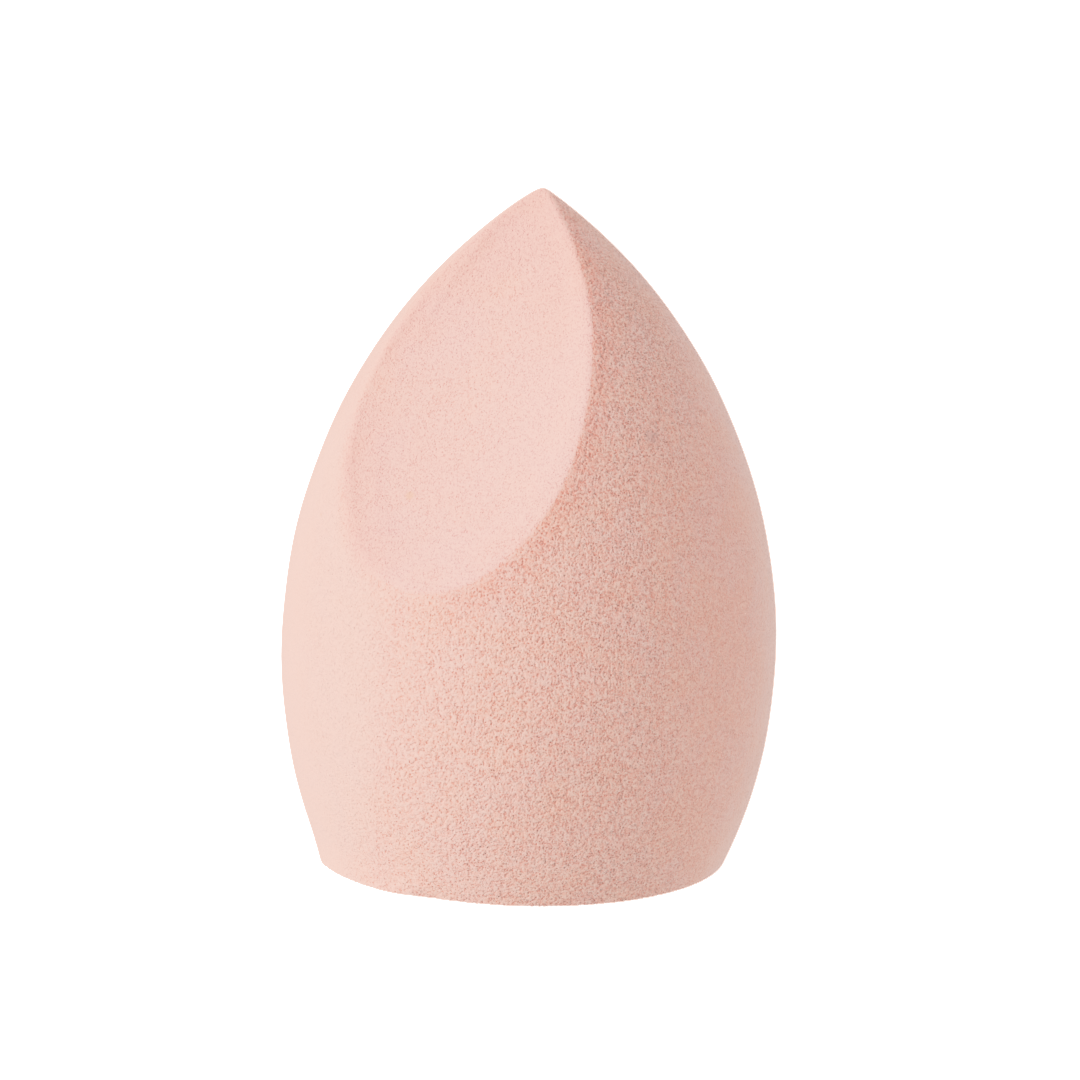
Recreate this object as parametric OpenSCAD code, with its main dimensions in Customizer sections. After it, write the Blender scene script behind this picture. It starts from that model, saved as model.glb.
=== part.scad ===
// Drop-shaped make-up sponge: one piece of fine foam, round about its axis,
// with a flat base and one flat slanted face that reaches the tip.
// Millimetres, +Z up, origin at the centre of the base.
// The slanted face looks towards -Y and upwards.

/* [Drop] */
// Largest diameter of the drop
body_d = 43.5; // [38:0.5:60]
// Height of the widest level above the base
widest_h = 18.5; // [14:0.5:24]
// Height at which the upper flanks would meet on the axis
apex_h = 60.2; // [50:0.1:80]

/* [Base] */
// Diameter at which the lower flank's own curve reaches the base
base_d = 35.8; // [28:0.1:37]
// Radius of the soft edge round the base
base_edge_r = 0.8; // [0.2:0.1:2]

/* [Slanted face] */
// Angle between the slanted face and the base
slant_angle = 56.7; // [45:0.1:65]
// Distance down the axis from the flanks' meeting point to the slanted face
slant_drop = 0.5; // [0.2:0.1:8]

/* [Hidden] */

$fn = 180;

body_r = body_d / 2;
base_r = base_d / 2;

// Each flank is one arc that stands upright at the widest level.
upper_rise = apex_h - widest_h;
upper_r = (upper_rise * upper_rise + body_r * body_r) / (2 * body_r);
base_inset = body_r - base_r;
lower_r = (widest_h * widest_h + base_inset * base_inset) / (2 * base_inset);

// The soft edge is a circle that touches the base and the lower flank from inside.
edge_reach = lower_r - base_edge_r;
edge_drop = widest_h - base_edge_r;
edge_x = body_r - lower_r + sqrt(edge_reach * edge_reach - edge_drop * edge_drop);
edge_top_h = base_edge_r - base_edge_r * edge_drop / edge_reach;

// The slanted cut is a block that is larger than anything it takes away.
slant_h = apex_h - slant_drop;
slant_reach = apex_h + body_d;

// Half of the drop's section, from the axis outwards
module drop_section() {
    intersection() {
        translate([body_r - upper_r, widest_h])
            circle(r = upper_r);
        translate([0, widest_h])
            square([body_r, upper_rise]);
    }
    intersection() {
        translate([body_r - lower_r, widest_h])
            circle(r = lower_r);
        translate([0, edge_top_h])
            square([body_r, widest_h - edge_top_h]);
    }
    square([edge_x, widest_h]);
    translate([edge_x, base_edge_r])
        circle(r = base_edge_r);
}

// The material in front of the slanted face
module slant_cut() {
    translate([0, 0, slant_h])
        rotate([slant_angle, 0, 0])
            translate([-slant_reach, -slant_reach, 0])
                cube([2 * slant_reach, 2 * slant_reach, slant_reach]);
}

// The whole sponge
module foam_body() {
    color([0.92, 0.79, 0.73])
        difference() {
            rotate_extrude()
                drop_section();
            slant_cut();
        }
}

foam_body();
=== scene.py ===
# A drop-shaped make-up sponge of fine pale pink foam: a round ground flank, a flat base
# and one flat slanted face that a blade has cut. Metres, +Z up.
import math

import bpy
import numpy as np
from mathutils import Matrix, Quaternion, Vector


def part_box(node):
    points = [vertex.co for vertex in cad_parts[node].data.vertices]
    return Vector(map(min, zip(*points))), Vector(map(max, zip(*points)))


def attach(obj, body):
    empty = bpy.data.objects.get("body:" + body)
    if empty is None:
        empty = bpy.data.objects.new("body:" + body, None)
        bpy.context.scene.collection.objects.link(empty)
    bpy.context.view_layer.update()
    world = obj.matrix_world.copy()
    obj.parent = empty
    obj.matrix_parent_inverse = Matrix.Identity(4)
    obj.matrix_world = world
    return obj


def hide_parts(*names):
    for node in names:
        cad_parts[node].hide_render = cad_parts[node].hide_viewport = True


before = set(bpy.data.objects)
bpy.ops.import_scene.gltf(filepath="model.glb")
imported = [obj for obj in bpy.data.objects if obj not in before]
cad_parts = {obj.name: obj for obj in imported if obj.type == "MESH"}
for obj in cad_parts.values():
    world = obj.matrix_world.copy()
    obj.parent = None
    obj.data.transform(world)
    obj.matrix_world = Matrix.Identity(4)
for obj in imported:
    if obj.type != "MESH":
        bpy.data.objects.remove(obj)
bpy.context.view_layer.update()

MM = 0.001

# The drop's own sizes, as the model's source has them
NODE = "foam_body"
BODY_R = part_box(NODE)[1][0]
WIDEST_H = 18.5 * MM
APEX_H = 60.2 * MM
BASE_R = 17.9 * MM
SLANT_ANGLE = math.radians(56.7)
SLANT_H = APEX_H - 0.5 * MM
SLANT_NORMAL = Vector((0, -math.sin(SLANT_ANGLE), math.cos(SLANT_ANGLE)))
SLANT_LEVEL = SLANT_NORMAL.dot(Vector((0, 0, SLANT_H)))

# The lower edge, crisper than the model's source has it
BASE_EDGE_R = 0.15 * MM

# The slanted face: its size, its middle, its uphill and level directions, and its dish
FACE_LENGTH = 38.4 * MM
FACE_WIDTH = 22.0 * MM
FACE_MIDDLE = Vector((0, -10.33, 43.98)) * MM
FACE_UP = Vector((0, math.cos(SLANT_ANGLE), math.sin(SLANT_ANGLE)))
FACE_LEVEL = (1, 0, 0)
DISH = 1.0 * MM
DISH_FADE = 2 * MM

# How finely the foam is modelled
TURN_STEPS = 160
LOWER_RINGS = 14
UPPER_RINGS = 40
EDGE_RINGS = 4
SKIN_STEP = 0.106 * MM
MERGE_GAP = 0.001 * MM

# Which part of the slanted face's rim is soft, by place in X and in height
LEFT_RIM = (-9 * MM, -2 * MM)
SOFT_HEIGHTS = (26 * MM, 35 * MM)
SOFT_UP_HIGH = 0.15

# Where the rim's passage from flank to cut starts and ends, by distance from the dished face
CRISP_PASSAGE = -0.10 * MM
SOFT_PASSAGE = -1.3 * MM
PASSAGE_END = 0.05 * MM

# How the rim is rounded, crisp and soft
CRISP_REACH = 0.6 * MM
SOFT_REACH = 1.6 * MM
CRISP_WEIGHT = 0.08
ROUNDING_TURNS = 40

# Where the dish ends and the flank's deeper pores start, by distance from the slanted plane
DISH_EDGE = (-0.4 * MM, -0.1 * MM)
PORE_EDGE = (-0.4 * MM, -0.05 * MM)

# The flank's unevenness, and the fuller lower edge on one side
WOBBLE = 0.2 * MM
WOBBLE_WAVE = 9 * MM
FOOT_SIDE = Vector((-0.4095, -0.9123, 0.0))
FOOT_REACH = (15.6 * MM, 17.3 * MM)
FOOT_OUT = 0.85 * MM
FOOT_HEIGHT = 3 * MM

# The far right of the flank, which is ground smoother
SMOOTH_SIDE = Vector((0.876, 0.482, 0.0))
SMOOTH_REACH = (8 * MM, 19 * MM)
SMOOTH_SHARE = 0.5

# The pores: their size, where a pit ends in cells, and what each kind counts for
RELIEF = 0.15 * MM
CUT_RELIEF = RELIEF * 0.15
PROUD = 0.2
UNDERSIDE = (-0.98, -0.9)
PORE_CELL = 0.215 * MM
FINE_CELLS = 1.5
WIDE_PIT = (0.18, 0.54)
FINE_PIT = (0.18, 0.50)
WIDE_SHARE = 0.75
FINE_SHARE = 0.55
SHALLOWEST_PIT = 0.4

# The grain of the walls between the pores, and patches of warmer and cooler foam
GRAIN_CELL = 0.11 * MM
PATCH_CELL = 3.5 * MM
NOISE_RANGE = (0.3, 0.7)
GRAIN = (0.86, 0.86, 0.86, 1.0)
PLAIN = (1.0, 1.0, 1.0, 1.0)
WARM = (1.0, 0.985, 0.96, 1.0)
COOL = (0.98, 1.0, 1.02, 1.0)

# The foam's colours, on its skin and in its pores, for the flank and for the slanted face; the
# pores' colour is painted shade, darker and redder, of their hollows
PALE = (0.99, 0.71, 0.615, 1.0)
PORE_SHADE = (0.95, 0.41, 0.315, 1.0)
CUT_PALE = (1.0, 0.695, 0.65, 1.0)
CUT_PORE_SHADE = (0.86, 0.42, 0.37, 1.0)

# How much of the pores' painted shade shows on the cut, at a grazing angle, and where the flank is
# smooth
CUT_OPEN = 0.95
THIN_OPEN = 0.2
THIN_FACING = (0.4, 0.9)
FLANK_LEAN = 0.4
MEAN_OPEN = 0.28

# The redder lumps, and the redder band outside the slanted face's crisp rim
RED_CELL = 0.42 * MM
RED_RANGE = (0.35, 0.65)
RED_SHARE = 0.35
CUT_RED_SHARE = 0.1
RIM_RED = 0.2
RIM_BAND = (-2.2 * MM, -0.3 * MM)
CRISP_RIM = (-1 * MM, 6 * MM)

# Painted light: the left flank, which faces the lamps, painted in a paler colour
LIT_SIDE = (-0.7215, -0.6925, 0.0)
LIT_REACH = (15.5 * MM, 19 * MM)
PAINTED_LIGHT = (0.99, 0.80, 0.72, 1.0)
PAINTED_LIGHT_SHARE = 0.6
PAINTED_LIGHT_FADE = -1 * MM

# Painted shade on the slanted face, a darker and pinker colour: along its left rim, on its left side
# and near the tip
FACE_SHADE = (0.95, 0.58, 0.50, 1.0)
FACE_SHADE_RIM = (0.2 * MM, 2.6 * MM)
FACE_SHADE_RIM_SIDE = (-8 * MM, -1 * MM)
FACE_SHADE_SIDE = (-11 * MM, 2 * MM)
FACE_SHADE_SHARE = 0.55
FACE_SHADE_HEIGHTS = (42 * MM, 57 * MM)
FACE_SHADE_AT_TIP = 0.9

# Small marks on the foam. Each: middle, size, strength, colour
OCHRE = (0.75, 0.42, 0.22, 1.0)
SOIL = (0.72, 0.47, 0.42, 1.0)
MARK_CORE = 0.3
SPOTS = {
    "ochre_speck": (Vector((-3.62, -15.52, 34.95)) * MM, 0.60 * MM, 0.50, OCHRE),
    "rim_speck": (Vector((-12.51, -15.51, 31.96)) * MM, 0.30 * MM, 0.45, OCHRE),
    "grey_dent": (Vector((15.09, -6.54, 41.08)) * MM, 0.90 * MM, 0.60, SOIL),
    "edge_speck": (Vector((16.35, 6.87, 38.31)) * MM, 0.40 * MM, 1.0, SOIL),
}
FIBRE = (
    Vector((-13.08, -13.86, 34.82)) * MM,
    Vector((-13.25, -14.02, 34.11)) * MM,
    Vector((-12.54, -15.05, 33.17)) * MM,
)
FIBRE_SIZE = 0.20 * MM
FIBRE_STRENGTH = 0.30

# How the foam takes the light
BUMP = 0.06 * MM
FOAM_ROUGHNESS = 0.9
FOAM_SPECULAR = 0.2
SHEEN = 0.7
SHEEN_ROUGHNESS = 0.45

# The camera, fitted to the drop's outline in the photograph
CAMERA_AZIMUTH = 28.83
CAMERA_ELEVATION = 14.12
CAMERA_ROLL = 1.68
CAMERA_DISTANCE = 870 * MM
CAMERA_LENS = 329.9
CAMERA_CLIP = (0.01, 20)
AIM_RIGHT = 0.707 * MM
AIM_HEIGHT = 28.35 * MM

# The texture map: its seam behind the drop, its margin, and where each face lies on it
SEAM = math.radians(CAMERA_AZIMUTH)
MAP_EDGE = 0.005
FLANK_SHARE = 0.70
FACE_PLACE = (0.2, 0.11)
BASE_PLACE = (0.6, 0.14)
FACE_SKIN = 0.3 * MM
BASE_SKIN = 0.3 * MM

# The studio: white to the camera, softer tones for the light that reaches the drop
DOME_COLOR = (0.745, 0.695, 0.69, 1.0)
FLOOR_COLOR = (0.822, 0.791, 0.775, 1.0)
SEEN_WHITE = (4.0, 4.0, 4.0, 1.0)
FLOOR_SIZE = 4

# Each lamp: azimuth from the camera, elevation, distance, size, watts, colour
LAMPS = {
    "key": (-65, 15, 0.6, 0.6, 2.85, (1, 0.93, 0.96)),
    "key_low": (-80, 5, 0.6, 0.6, 2.70, (1.0, 1.0, 1.04)),
}

# The picture's highlights, for red, green and blue: where they start to flatten, and by how much
SHOULDERS = ((0.60, 0.35), (0.45, 0.27), (0.40, 0.24))
SHOULDER_RISES = (0.0, 0.06, 0.13, 0.22, 0.34, 0.5, 0.75, 1.2)
WHITE = 3.0


class Nodes:
    """Writes a node tree, of a material or of a mesh, one node a call."""

    def __init__(self, tree):
        self.tree = tree

    def add(self, kind, **settings):
        node = self.tree.nodes.new(kind)
        for key, value in settings.items():
            setattr(node, key, value)
        return node

    def feed(self, socket, value):
        """Links a socket's value, or sets it as a number."""
        if isinstance(value, bpy.types.NodeSocket):
            self.tree.links.new(value, socket)
        elif value is not None:
            socket.default_value = value

    def math(self, operation, a, b=None, c=None, clamp=False):
        node = self.add("ShaderNodeMath", operation=operation, use_clamp=clamp)
        for socket, value in zip(node.inputs, (a, b, c)):
            self.feed(socket, value)
        return node.outputs[0]

    def times(self, first, *others):
        """The product of two or more numbers."""
        for other in others:
            first = self.math("MULTIPLY", first, other)
        return first

    def vector(self, operation, a, b=None, scale=None, out=0):
        node = self.add("ShaderNodeVectorMath", operation=operation)
        self.feed(node.inputs[0], a)
        self.feed(node.inputs[1], b)
        if scale is not None:
            self.feed(node.inputs["Scale"], scale)
        return node.outputs[out]

    def along(self, place, direction):
        """How far a place lies along a direction."""
        return self.vector("DOT_PRODUCT", place, direction, out="Value")

    def parts(self, vector):
        """The X, Y and Z of a vector."""
        node = self.add("ShaderNodeSeparateXYZ")
        self.feed(node.inputs[0], vector)
        return node.outputs

    def step(self, value, low, high, to_low=0.0, to_high=1.0):
        """A soft step from to_low to to_high as value goes from low to high."""
        node = self.add("ShaderNodeMapRange", interpolation_type="SMOOTHSTEP")
        names = ("Value", "From Min", "From Max", "To Min", "To Max")
        for name, v in zip(names, (value, low, high, to_low, to_high)):
            self.feed(node.inputs[name], v)
        return node.outputs["Result"]

    def noise(self, place, size, detail=0.0, out="Fac"):
        """Soft noise whose lumps are about size across."""
        node = self.add("ShaderNodeTexNoise")
        self.feed(node.inputs["Vector"], place)
        node.inputs["Scale"].default_value = 1 / size
        node.inputs["Detail"].default_value = detail
        return node.outputs[out]

    def cells(self, place, per_metre):
        """Distance to the middle of the nearest cell, in cells, and that cell's own number."""
        node = self.add("ShaderNodeTexVoronoi", feature="F1")
        self.feed(node.inputs["Vector"], place)
        self.feed(node.inputs["Scale"], per_metre)
        return node.outputs["Distance"], self.parts(node.outputs["Color"])[0]

    def mix(self, share, a, b):
        """Two colours, from a at share 0 to b at share 1."""
        node = self.add("ShaderNodeMix", data_type="RGBA")
        for socket, value in zip((node.inputs[0], node.inputs[6], node.inputs[7]), (share, a, b)):
            self.feed(socket, value)
        return node.outputs[2]

    def mix_value(self, share, a, b):
        """Two numbers, from a at share 0 to b at share 1."""
        node = self.add("ShaderNodeMix", data_type="FLOAT")
        for socket, value in zip((node.inputs[0], node.inputs[2], node.inputs[3]), (share, a, b)):
            self.feed(socket, value)
        return node.outputs[0]

    def tint(self, color, by):
        """A colour times another."""
        node = self.add("ShaderNodeMix", data_type="RGBA", blend_type="MULTIPLY")
        for socket, value in zip((node.inputs[0], node.inputs[6], node.inputs[7]), (1.0, color, by)):
            self.feed(socket, value)
        return node.outputs[2]


def deselect_all():
    bpy.ops.object.select_all(action="DESELECT")


def apply_modifier(piece, kind, name, **settings):
    """Adds one modifier, sets it up and applies it."""
    mod = piece.modifiers.new(name, kind)
    for key, value in settings.items():
        setattr(mod, key, value)
    bpy.ops.object.modifier_apply(modifier=mod.name)


def arc_radius(rise, inset):
    """Radius of an arc that starts upright and moves in by inset over rise."""
    return (rise * rise + inset * inset) / (2 * inset)


UPPER_R = arc_radius(APEX_H - WIDEST_H, BODY_R)
LOWER_R = arc_radius(WIDEST_H, BODY_R - BASE_R)


def flank_rings():
    """(radius, height) of each ring of the drop, from the base's flat to just under the apex."""
    edge_reach = LOWER_R - BASE_EDGE_R
    edge_drop = WIDEST_H - BASE_EDGE_R
    edge_x = BODY_R - LOWER_R + math.sqrt(edge_reach**2 - edge_drop**2)
    foot = math.asin(edge_drop / edge_reach)
    rings = []
    for i in range(EDGE_RINGS + 1):
        a = (math.pi / 2 - foot) * i / EDGE_RINGS
        rings.append((edge_x + BASE_EDGE_R * math.sin(a), BASE_EDGE_R * (1 - math.cos(a))))
    for i in range(1, LOWER_RINGS + 1):
        a = foot * (1 - i / LOWER_RINGS)
        rings.append((BODY_R - LOWER_R * (1 - math.cos(a)), WIDEST_H - LOWER_R * math.sin(a)))
    top = math.acos(1 - BODY_R / UPPER_R)
    for i in range(1, UPPER_RINGS):
        a = top * i / UPPER_RINGS
        rings.append((BODY_R - UPPER_R * (1 - math.cos(a)), WIDEST_H + UPPER_R * math.sin(a)))
    return rings


def drop_blank():
    """The drop with its slanted face, ring by ring from the base, as a light mesh."""
    deselect_all()
    rings = flank_rings()
    bpy.ops.mesh.primitive_circle_add(vertices=TURN_STEPS, radius=rings[0][0], fill_type="NGON")
    blank = bpy.context.object
    blank.name = "foam_drop"
    bpy.ops.object.mode_set(mode="EDIT")
    for (r0, z0), (r1, z1) in zip(rings, rings[1:]):
        bpy.ops.mesh.extrude_region_move(TRANSFORM_OT_translate={"value": (0, 0, z1 - z0)})
        bpy.ops.transform.resize(value=(r1 / r0, r1 / r0, 1), center_override=(0, 0, z1))
    bpy.ops.mesh.extrude_region_move(TRANSFORM_OT_translate={"value": (0, 0, APEX_H - rings[-1][1])})
    bpy.ops.mesh.merge(type="CENTER")
    bpy.ops.mesh.select_all(action="SELECT")
    bpy.ops.mesh.bisect(
        plane_co=(0, 0, SLANT_H), plane_no=SLANT_NORMAL, use_fill=True, clear_outer=True
    )
    bpy.ops.mesh.select_all(action="SELECT")
    bpy.ops.mesh.remove_doubles(threshold=MERGE_GAP)
    bpy.ops.mesh.normals_make_consistent(inside=False)
    bpy.ops.object.mode_set(mode="OBJECT")
    return blank


def slant_distance(n, place):
    """How far a place lies in front of the plane of the slanted face."""
    return n.math("SUBTRACT", n.along(place, SLANT_NORMAL), SLANT_LEVEL)


def flank_gap(n, place):
    """How far a place above the widest ring lies inside the round flank."""
    x, y, z = n.parts(place)
    reach = n.math("SQRT", n.math("ADD", n.times(x, x), n.times(y, y)))
    rise = n.math("SUBTRACT", z, WIDEST_H)
    across = n.math("SQRT", n.math("SUBTRACT", UPPER_R**2, n.times(rise, rise)))
    return n.math("SUBTRACT", n.math("ADD", across, BODY_R - UPPER_R), reach)


def leftness(n, place):
    """1 along the left rim of the slanted face, which is soft, and 0 along its crisp right rim."""
    return n.step(n.parts(place)["X"], *LEFT_RIM, 1.0, 0.0)


def softness(n, place):
    """How soft the rim of the slanted face is: most at its lower left."""
    return n.times(leftness(n, place), n.step(n.parts(place)["Z"], *SOFT_HEIGHTS, 1.0, SOFT_UP_HIGH))


def dish_depth(n, place):
    """How far the slanted face is dished, deepest in its middle and nothing at its crisp rim."""
    from_middle = n.vector("SUBTRACT", place, FACE_MIDDLE)
    along = n.math("DIVIDE", n.along(from_middle, FACE_UP), FACE_LENGTH / 2)
    across = n.math("DIVIDE", n.along(from_middle, FACE_LEVEL), FACE_WIDTH / 2)
    out = n.math("ADD", n.times(along, along), n.times(across, across))
    bowl = n.math("SUBTRACT", 1.0, out, clamp=True)
    within = n.math("MAXIMUM", n.step(flank_gap(n, place), 0.0, DISH_FADE), leftness(n, place))
    return n.times(bowl, within, DISH)


def cut_level(n, place):
    """How far a place lies in front of the slanted face as it is dished."""
    return n.math("ADD", slant_distance(n, place), dish_depth(n, place))


def cut_share(n, place):
    """1 on the slanted face, 0 on the flank, with a wider passage along the left rim."""
    start = n.step(softness(n, place), 0.0, 1.0, CRISP_PASSAGE, SOFT_PASSAGE)
    return n.step(cut_level(n, place), start, PASSAGE_END)


def wobble(n, place):
    """The slight unevenness of the ground flank. It is level, so the base stays flat."""
    wave = n.vector("SUBTRACT", n.noise(place, WOBBLE_WAVE, out="Color"), (0.5, 0.5, 0.5))
    return n.vector("MULTIPLY", wave, (WOBBLE, WOBBLE, 0.0))


def fuller_foot(n, place):
    """The lower edge stands out a little on one side, where the ground flank flares."""
    above = n.math("DIVIDE", n.parts(place)["Z"], FOOT_HEIGHT, clamp=True)
    low = n.math("POWER", n.math("SUBTRACT", 1.0, above), 2.0)
    side = n.step(n.along(place, FOOT_SIDE), *FOOT_REACH)
    return n.vector("SCALE", FOOT_SIDE, scale=n.times(low, side, FOOT_OUT))


def roughness(n, place):
    """How rough the flank is ground: less on its far right."""
    return n.step(n.along(place, SMOOTH_SIDE), *SMOOTH_REACH, 1.0, SMOOTH_SHARE)


def pore_pattern(n, place):
    """How open the foam is at a place, from 0 on its skin to about 1 deep in a pore."""
    wide, wide_own = n.cells(place, 1 / PORE_CELL)
    fine, fine_own = n.cells(place, FINE_CELLS / PORE_CELL)
    own_depth = n.math("MULTIPLY_ADD", wide_own, 1 - SHALLOWEST_PIT, SHALLOWEST_PIT)
    pit = n.times(n.step(wide, *WIDE_PIT, 1.0, 0.0), own_depth)
    dot = n.times(n.step(fine, *FINE_PIT, 1.0, 0.0), fine_own)
    deep = n.math("MULTIPLY_ADD", pit, WIDE_SHARE, n.times(dot, FINE_SHARE))
    return n.math("MINIMUM", deep, 1.0)


def moved(n, mesh, **fields):
    """The mesh with its points set to a Position, or shifted by an Offset."""
    node = n.add("GeometryNodeSetPosition")
    n.feed(node.inputs["Geometry"], mesh)
    for name, value in fields.items():
        n.feed(node.inputs[name], value)
    return node.outputs[0]


def rounded_rims(n, place):
    """Each place as it lies once the rims of the slanted face are rounded."""
    to_flank = n.math("ABSOLUTE", flank_gap(n, place))
    to_plane = n.math("ABSOLUTE", slant_distance(n, place))
    soft = softness(n, place)
    reach = n.step(soft, 0.0, 1.0, CRISP_REACH, SOFT_REACH)
    near = n.step(n.math("ADD", to_flank, to_plane), 0.0, reach, 1.0, 0.0)
    blur = n.add("GeometryNodeBlurAttribute", data_type="FLOAT_VECTOR")
    n.feed(blur.inputs["Value"], place)
    n.feed(blur.inputs["Weight"], n.times(near, n.step(soft, 0.0, 1.0, CRISP_WEIGHT, 1.0)))
    blur.inputs["Iterations"].default_value = ROUNDING_TURNS
    return blur.outputs["Value"]


def foam_shape():
    """Softens the rims of the slanted face, then opens the foam's pores inward."""
    tree = bpy.data.node_groups.new("foam_shape", "GeometryNodeTree")
    tree.interface.new_socket("Mesh", in_out="INPUT", socket_type="NodeSocketGeometry")
    tree.interface.new_socket("Mesh", in_out="OUTPUT", socket_type="NodeSocketGeometry")
    n = Nodes(tree)
    place = n.add("GeometryNodeInputPosition").outputs[0]
    normal = n.add("GeometryNodeInputNormal").outputs[0]

    mesh = moved(n, n.add("NodeGroupInput").outputs[0], Position=rounded_rims(n, place))

    on_face = n.step(slant_distance(n, place), *DISH_EDGE)
    inward = n.times(dish_depth(n, place), on_face, -1.0)
    shift = n.vector("ADD", n.vector("SCALE", SLANT_NORMAL, scale=inward), wobble(n, place))
    mesh = moved(n, mesh, Offset=n.vector("ADD", shift, fuller_foot(n, place)))

    depth = n.times(n.step(cut_level(n, place), *PORE_EDGE, RELIEF, CUT_RELIEF), roughness(n, place))
    proud = n.step(n.parts(normal)["Z"], *UNDERSIDE, 0.0, PROUD)
    sunk = n.times(n.math("SUBTRACT", proud, pore_pattern(n, place)), depth)
    mesh = moved(n, mesh, Offset=n.vector("SCALE", normal, scale=sunk))
    n.feed(n.add("NodeGroupOutput").inputs[0], mesh)
    return tree


def spot(n, place, middle, size, strength):
    """A small round mark, strongest in its middle and gone at size from it."""
    away = n.vector("DISTANCE", place, middle, out="Value")
    return n.step(away, size * MARK_CORE, size, strength, 0.0)


def fibre(n, place, start, end):
    """A thin fibre that lies on the foam, from start to end."""
    line = end - start
    reach = n.along(n.vector("SUBTRACT", place, start), line)
    share = n.math("MULTIPLY", reach, 1 / line.length_squared, clamp=True)
    nearest = n.vector("ADD", n.vector("SCALE", line, scale=share), start)
    return spot(n, place, nearest, FIBRE_SIZE, FIBRE_STRENGTH)


def marks(n, place, color):
    """The few small marks on the foam."""
    for middle, size, strength, tone in SPOTS.values():
        color = n.mix(spot(n, place, middle, size, strength), color, tone)
    for start, end in zip(FIBRE, FIBRE[1:]):
        color = n.mix(fibre(n, place, start, end), color, SOIL)
    return color


def painted_face_shade(n, place):
    """Painted shade, a darker and pinker colour, along the soft left rim of the slanted face, on its
    left side, and towards the tip.
    """
    x, _, z = n.parts(place)
    near = n.step(flank_gap(n, place), *FACE_SHADE_RIM, FACE_SHADE_SHARE, 0.0)
    side = n.step(x, *FACE_SHADE_RIM_SIDE, 1.0, 0.0)
    wide = n.step(x, *FACE_SHADE_SIDE, FACE_SHADE_SHARE, 0.0)
    high = n.step(z, *FACE_SHADE_HEIGHTS, 0.0, FACE_SHADE_AT_TIP)
    return n.math("MAXIMUM", n.math("ADD", n.times(near, side), wide), high, clamp=True)


def patches(n, place, color):
    """Faint warmer and cooler patches, a few millimetres wide."""
    cool = n.step(n.noise(place, PATCH_CELL, detail=2.0), *NOISE_RANGE)
    return n.tint(color, n.mix(cool, WARM, COOL))


def grain(n, place, color):
    """The walls between the pores, too fine for the mesh, as small lighter and darker grains."""
    light = n.step(n.noise(place, GRAIN_CELL, detail=1.0), *NOISE_RANGE)
    return n.tint(color, n.mix(light, GRAIN, PLAIN))


def thin_view(n, place):
    """1 where the flank turns away from the eye, where only the tips of the walls show; there the
    pores' painted shade fades, which also paints the paler sheen of the flank towards its outline.
    """
    outward = n.vector("MULTIPLY", n.vector("SUBTRACT", place, (0, 0, WIDEST_H)), (1, 1, FLANK_LEAN))
    weight = n.add("ShaderNodeLayerWeight")
    weight.inputs["Blend"].default_value = 0.5
    n.feed(weight.inputs["Normal"], n.vector("NORMALIZE", outward))
    return n.step(weight.outputs["Facing"], *THIN_FACING)


def painted_light_side(n, place):
    """How much painted light, as a paler colour, the left flank has where it faces the lamps."""
    side = n.step(n.along(place, LIT_SIDE), *LIT_REACH, 0.0, PAINTED_LIGHT_SHARE)
    return n.times(side, n.step(cut_level(n, place), PAINTED_LIGHT_FADE, 0.0, 1.0, 0.0))


def red_rim(n, place):
    """The redder band of flank just outside the crisp right rim of the slanted face."""
    crisp = n.step(n.parts(place)["X"], *CRISP_RIM)
    return n.times(n.step(cut_level(n, place), *RIM_BAND), crisp)


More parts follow.
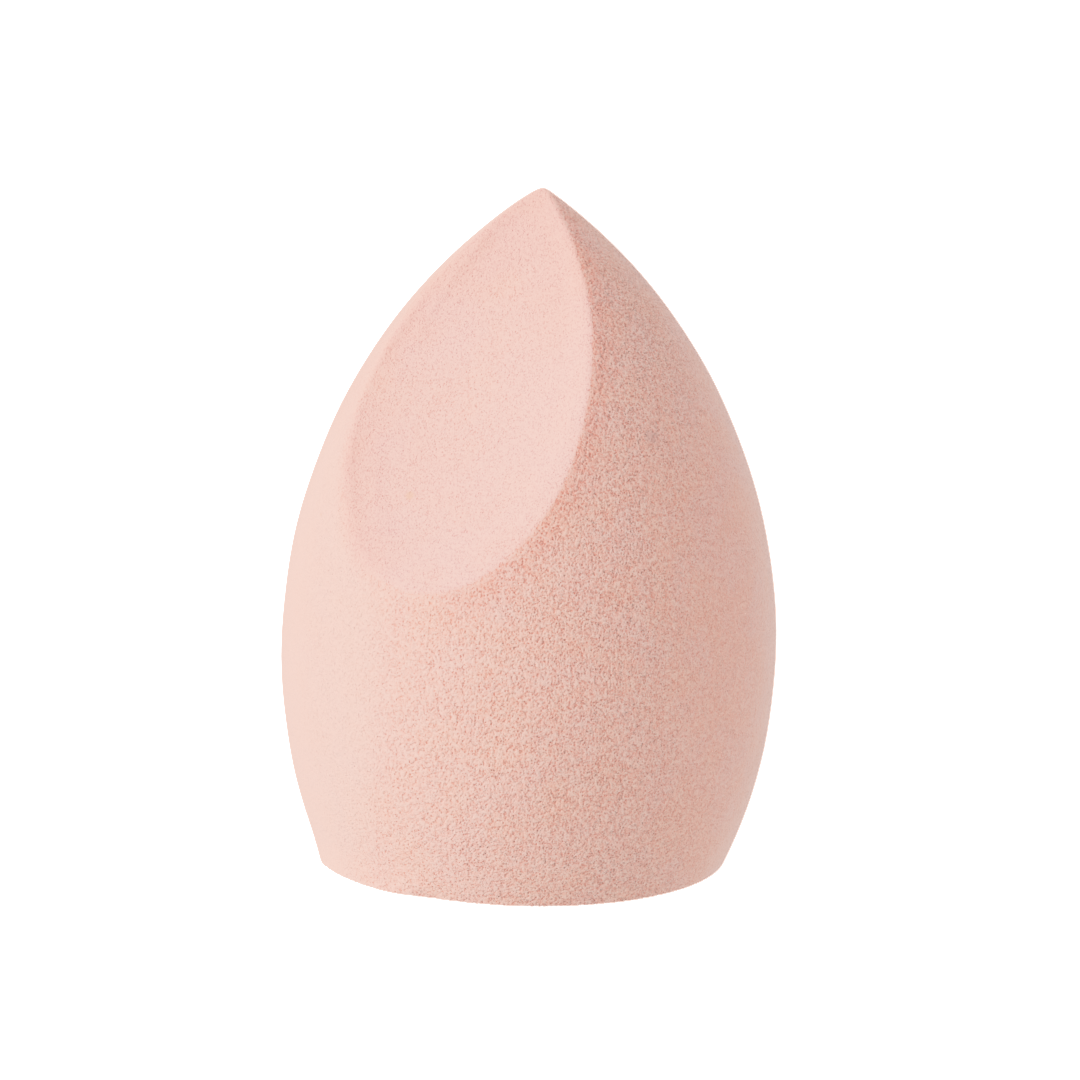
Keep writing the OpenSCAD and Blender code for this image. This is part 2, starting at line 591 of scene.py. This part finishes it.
def foam_material():
    """The foam's colour and grain, from the same pores as its mesh, with painted shade in the pores
    and on the slanted face, and painted light on the left flank.
    """
    mat = bpy.data.materials.new("pink_foam")
    mat.use_nodes = True
    n = Nodes(mat.node_tree)
    mat.node_tree.nodes.remove(mat.node_tree.nodes["Principled BSDF"])
    place = n.add("ShaderNodeTexCoord").outputs["Object"]
    cut = cut_share(n, place)
    flank = n.math("SUBTRACT", 1.0, cut)
    rim = red_rim(n, place)
    rough = n.mix_value(cut, roughness(n, place), 1.0)

    # Painted sheen: where the flank turns from the eye, the pores' colour fades and the flank is
    # painted paler
    thin = n.times(flank, n.math("SUBTRACT", 1.0, rim), thin_view(n, place))
    shown = n.step(thin, 0.0, 1.0, 1.0, THIN_OPEN)
    on_cut = n.step(cut, 0.0, 1.0, 1.0, CUT_OPEN)
    # How open the pores are: it sets the painted shade in their colour and the depth of the bump
    pore_shade_and_depth = n.times(on_cut, shown, n.mix_value(rough, MEAN_OPEN, pore_pattern(n, place)))

    most_red = n.step(cut, 0.0, 1.0, RED_SHARE, CUT_RED_SHARE)
    red = n.step(n.noise(place, RED_CELL, detail=1.5), *RED_RANGE, 0.0, most_red)
    red = n.mix_value(n.times(shown, rough), RED_SHARE / 2, red)
    red = n.math("ADD", red, n.times(rim, flank, RIM_RED))

    # Painted shade on the slanted face: darker and pinker along its left rim, on its left side and
    # towards the tip
    pale = n.mix(cut, PALE, n.mix(painted_face_shade(n, place), CUT_PALE, FACE_SHADE))
    pit = n.mix(cut, PORE_SHADE, CUT_PORE_SHADE)
    # Painted shade in the pores: the pores, and the redder lumps, take the darker and redder pore
    # colour
    color = n.mix(n.math("ADD", pore_shade_and_depth, red, clamp=True), pale, pit)
    # Painted light: the left flank, which faces the lamps, is painted paler
    color = n.mix(painted_light_side(n, place), color, PAINTED_LIGHT)
    color = marks(n, place, grain(n, place, patches(n, place, color)))

    bump = n.add("ShaderNodeBump")
    bump.inputs["Strength"].default_value = 1.0
    bump.inputs["Distance"].default_value = 1.0
    n.feed(bump.inputs["Height"], n.times(pore_shade_and_depth, -BUMP))
    foam = n.add("ShaderNodeBsdfPrincipled")
    n.feed(foam.inputs["Base Color"], color)
    n.feed(foam.inputs["Normal"], bump.outputs[0])
    foam.inputs["Roughness"].default_value = FOAM_ROUGHNESS
    foam.inputs["Specular IOR Level"].default_value = FOAM_SPECULAR
    foam.inputs["Sheen Weight"].default_value = SHEEN
    foam.inputs["Sheen Roughness"].default_value = SHEEN_ROUGHNESS
    n.feed(mat.node_tree.nodes["Material Output"].inputs[0], foam.outputs[0])
    return mat


def unwrap(piece):
    """Lays the flank out as one strip, with the slanted face and the base below it."""
    mesh = piece.data
    place = np.empty(len(mesh.vertices) * 3, np.float32)
    corner = np.empty(len(mesh.loops), np.int32)
    mesh.vertices.foreach_get("co", place)
    mesh.loops.foreach_get("vertex_index", corner)
    spread = place.reshape(-1, 3)[corner.reshape(-1, 4)]
    middle = spread.mean(1)

    full_turn = 2 * math.pi
    back = np.arctan2(math.cos(SEAM), -math.sin(SEAM))
    turn = np.arctan2(middle[:, 1], middle[:, 0]) - back
    turn -= full_turn * np.floor(turn / full_turn)
    bend = np.arctan2(spread[..., 1], spread[..., 0]) - back - turn[:, None]
    bend -= full_turn * np.round(bend / full_turn)
    around = (turn[:, None] + bend) / full_turn
    strip = (1 - 2 * MAP_EDGE, FLANK_SHARE - 2 * MAP_EDGE)
    uv = np.stack((around, spread[..., 2] / APEX_H), -1) * strip
    uv += (MAP_EDGE, 1 + MAP_EDGE - FLANK_SHARE)
    per_metre = strip[0] / (full_turn * BODY_R)

    level = middle @ np.array(SLANT_NORMAL) - SLANT_LEVEL
    face_axes = np.stack((FACE_UP, FACE_LEVEL), 1)
    out = (middle - np.array(FACE_MIDDLE)) @ face_axes
    out = (out / (FACE_LENGTH / 2, FACE_WIDTH / 2)) ** 2
    on_face = level > -(DISH * np.clip(1 - out.sum(1), 0, 1) + FACE_SKIN)
    face_uv = (spread - np.array(FACE_MIDDLE)) @ face_axes * per_metre + FACE_PLACE
    uv[on_face] = face_uv[on_face]
    under = (middle[:, 2] < BASE_SKIN) & (np.hypot(middle[:, 0], middle[:, 1]) < BASE_R)
    uv[under] = spread[under][..., :2] * per_metre + BASE_PLACE
    mesh.uv_layers.new(name="OFBake").data.foreach_set("uv", uv.astype(np.float32).ravel())


def from_camera(azimuth, elevation):
    """The direction to a lamp, its azimuth counted from the camera's, to the right."""
    a = math.radians(CAMERA_AZIMUTH + azimuth)
    e = math.radians(elevation)
    return Vector((math.sin(a) * math.cos(e), -math.cos(a) * math.cos(e), math.sin(e)))


def make_camera():
    """The camera that the outline of the drop was fitted to."""
    back = from_camera(0, CAMERA_ELEVATION)
    a = math.radians(CAMERA_AZIMUTH)
    target = Vector((math.cos(a), math.sin(a), 0)) * AIM_RIGHT + Vector((0, 0, AIM_HEIGHT))
    data = bpy.data.cameras.new("camera")
    data.lens = CAMERA_LENS
    data.clip_start, data.clip_end = CAMERA_CLIP
    camera = bpy.data.objects.new("camera", data)
    bpy.context.scene.collection.objects.link(camera)
    camera.rotation_mode = "QUATERNION"
    camera.location = target + back * CAMERA_DISTANCE
    roll = Quaternion((0, 0, 1), math.radians(CAMERA_ROLL))
    camera.rotation_quaternion = (-back).to_track_quat("-Z", "Y") @ roll
    bpy.context.scene.camera = camera


def softbox(name, azimuth, elevation, distance, size, power, color):
    """A square lamp that faces the middle of the drop."""
    data = bpy.data.lights.new(name, "AREA")
    data.size = size
    data.energy = power
    data.color = color
    lamp = bpy.data.objects.new(name, data)
    bpy.context.scene.collection.objects.link(lamp)
    toward = from_camera(azimuth, elevation)
    lamp.location = Vector((0, 0, AIM_HEIGHT)) + toward * distance
    lamp.rotation_euler = (-toward).to_track_quat("-Z", "Y").to_euler()


def seen_and_lit(n, seen, lit):
    """One colour for what the camera sees, another for the light that reaches the drop."""
    path = n.add("ShaderNodeLightPath")
    return n.mix(path.outputs["Is Camera Ray"], lit, seen)


def make_dome():
    """White surroundings, and the light that comes from them."""
    world = bpy.data.worlds.new("studio")
    bpy.context.scene.world = world
    world.use_nodes = True
    n = Nodes(world.node_tree)
    sky = world.node_tree.nodes["Background"]
    n.feed(sky.inputs["Color"], seen_and_lit(n, SEEN_WHITE, DOME_COLOR))


def make_floor():
    """A pale floor under the drop, white to the camera."""
    deselect_all()
    bpy.ops.mesh.primitive_plane_add(size=FLOOR_SIZE)
    floor = bpy.context.object
    floor.name = "floor"
    paper = bpy.data.materials.new("pale_paper")
    paper.use_nodes = True
    n = Nodes(paper.node_tree)
    paper.node_tree.nodes.remove(paper.node_tree.nodes["Principled BSDF"])
    glow = n.add("ShaderNodeEmission")
    n.feed(glow.inputs["Color"], seen_and_lit(n, SEEN_WHITE, FLOOR_COLOR))
    n.feed(paper.node_tree.nodes["Material Output"].inputs[0], glow.outputs[0])
    floor.data.materials.append(paper)


def set_tones():
    """How bright light turns into the picture's tones, with soft highlights."""
    view = bpy.context.scene.view_settings
    view.view_transform = "Standard"
    view.use_curve_mapping = True
    view.curve_mapping.clip_max_x = WHITE
    view.curve_mapping.use_clip = False
    for curve, (shoulder, room) in zip(view.curve_mapping.curves, SHOULDERS):
        curve.points[1].location = (WHITE, 1.0)
        for rise in SHOULDER_RISES:
            curve.points.new(shoulder + rise, shoulder + room * (1 - math.exp(-rise / room)))
    view.curve_mapping.update()


drop = drop_blank()
apply_modifier(drop, "REMESH", "even_skin", mode="VOXEL", voxel_size=SKIN_STEP)
apply_modifier(drop, "NODES", "foam_shape", node_group=foam_shape())
unwrap(drop)
drop.data.materials.append(foam_material())
bpy.ops.object.shade_smooth()
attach(drop, "root")
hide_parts(NODE)

make_camera()
make_dome()
set_tones()
for name, lamp in LAMPS.items():
    softbox(name, *lamp)
make_floor()
